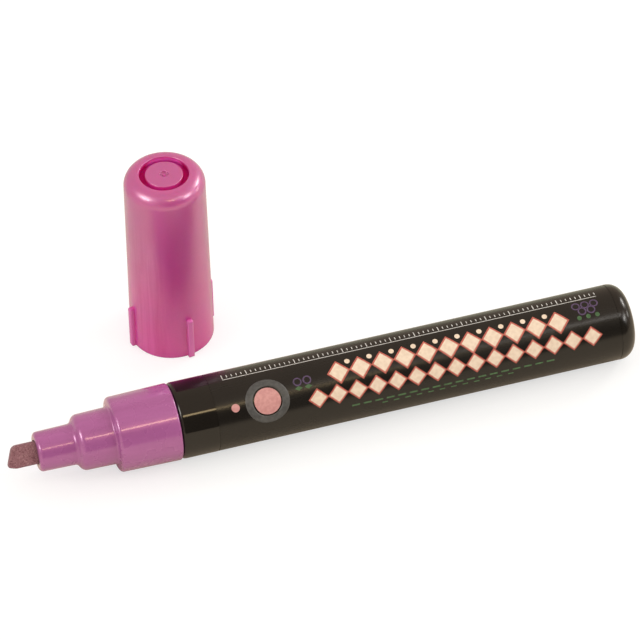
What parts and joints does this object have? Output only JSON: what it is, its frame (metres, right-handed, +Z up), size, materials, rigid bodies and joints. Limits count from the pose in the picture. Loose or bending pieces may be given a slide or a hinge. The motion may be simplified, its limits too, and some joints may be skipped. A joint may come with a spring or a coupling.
{
  "type": "liquid chalk marker",
  "caption": "Round liquid chalk marker lying uncapped: stepped collar, sprung chisel nib on a valve, and a tapered cap with grip ribs standing beside it.",
  "frame": {"origin": "on the barrel's axis, halfway along the barrel", "axes": "+X along the marker from the nib to the rear, +Z up from the surface it lies on"},
  "size_m": [0.1294, 0.0505, 0.0429],
  "materials": {
    "barrel_black": "gloss black moulding",
    "label_film": "satin black printed film",
    "collar_purple": "gloss purple moulding",
    "nib_fibre": "bonded fibre, soaked with ink",
    "valve_plastic": "natural moulding",
    "gasket_rubber": "soft sealing ring",
    "spring_steel": "bright wire",
    "ball_steel": "bright ball",
    "cap_pearl": "pearl pink moulding"
  },
  "bodies": {
    "marker": {"barrel": "barrel_black", "label_sleeve": "label_film", "front_collar": "collar_purple", "valve_body": "valve_plastic", "valve_gasket": "gasket_rubber", "valve_spring": "spring_steel", "valve_retainer": "valve_plastic"},
    "nib": {"nib": "nib_fibre"},
    "valve_stem": {"valve_stem": "valve_plastic"},
    "mixing_ball": {"mixing_ball": "ball_steel"},
    "cap": {"cap_shell": "cap_pearl", "inner_cap": "cap_pearl"}
  },
  "joints": [
    {"name": "nib_press", "type": "slide", "parent": "marker", "child": "nib", "axis": [1, 0, 0], "range_m": [0, 0.0025], "stiffness_N_per_m": 300, "springref_m": -0.003},
    {"name": "valve_open", "type": "slide", "parent": "marker", "child": "valve_stem", "axis": [1, 0, 0], "range_m": [0, 0.0025], "deforming": ["valve_spring"]},
    {"name": "ball_roll", "type": "slide", "parent": "marker", "child": "mixing_ball", "axis": [1, 0, 0], "range_m": [-0.031, 0.0385]},
    {"name": "cap_lift", "type": "slide", "parent": "marker", "child": "cap", "axis": [0, 0, 1], "range_m": [0, 0.05]}
  ],
  "couplings": [
    {"joint": "valve_open", "follows": "nib_press", "ratio": 1}
  ]
}
